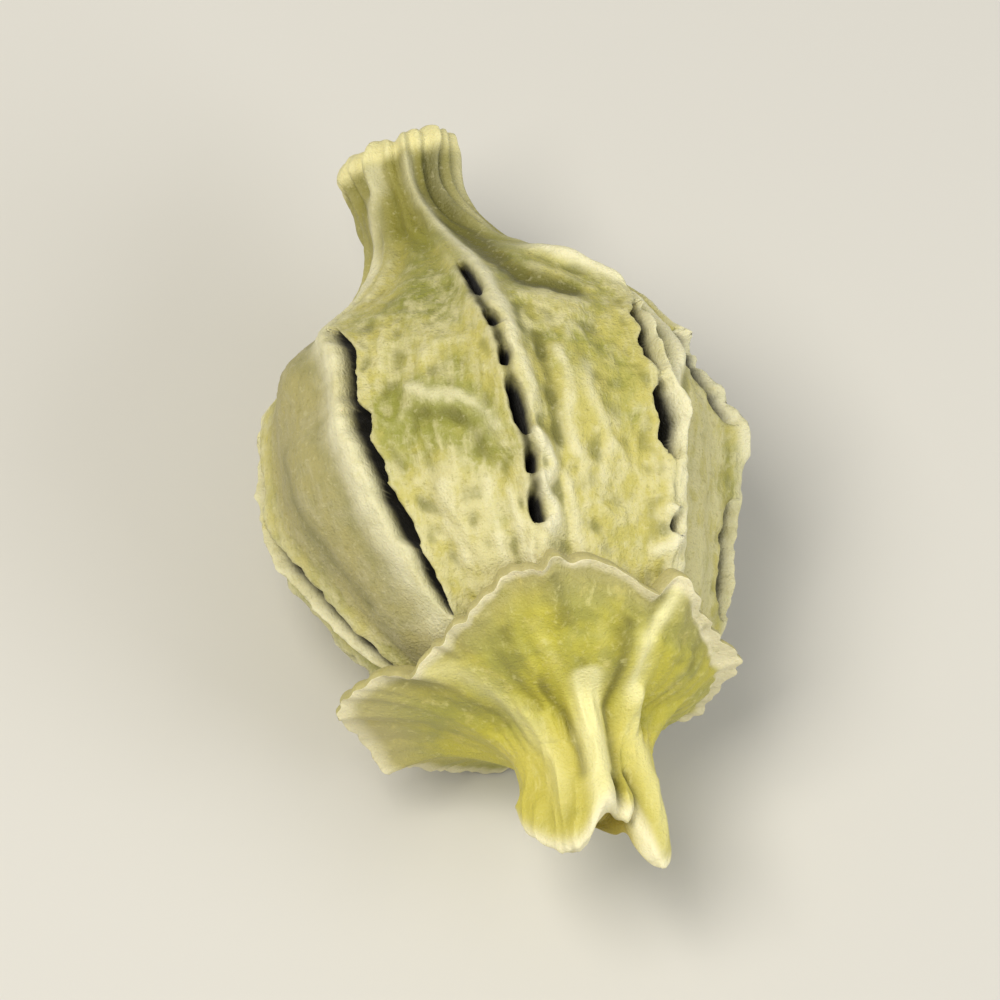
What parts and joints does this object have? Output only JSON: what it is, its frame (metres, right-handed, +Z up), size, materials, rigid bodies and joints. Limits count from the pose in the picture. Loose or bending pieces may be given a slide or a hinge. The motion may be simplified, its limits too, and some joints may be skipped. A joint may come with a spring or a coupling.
{
  "type": "dried okra pod",
  "caption": "Small dried okra pod with split ribs, a short neck, and a pleated cap that ends in a cut stalk, lying on its side.",
  "frame": {"origin": "on the surface the pod rests on, under the middle of its bounding box", "axes": "+Z up, +Y along the pod towards its tip, -Y towards the cut stalk"},
  "size_m": [0.0172, 0.0294, 0.0162],
  "materials": {
    "pod": "dried plant skin, matt, yellow-green with pale split seams",
    "cap_with_stalk": "dried plant skin, matt, yellow with pale edges"
  },
  "bodies": {
    "root": {"pod": "pod", "cap_with_stalk": "cap_with_stalk"}
  },
  "joints": []
}
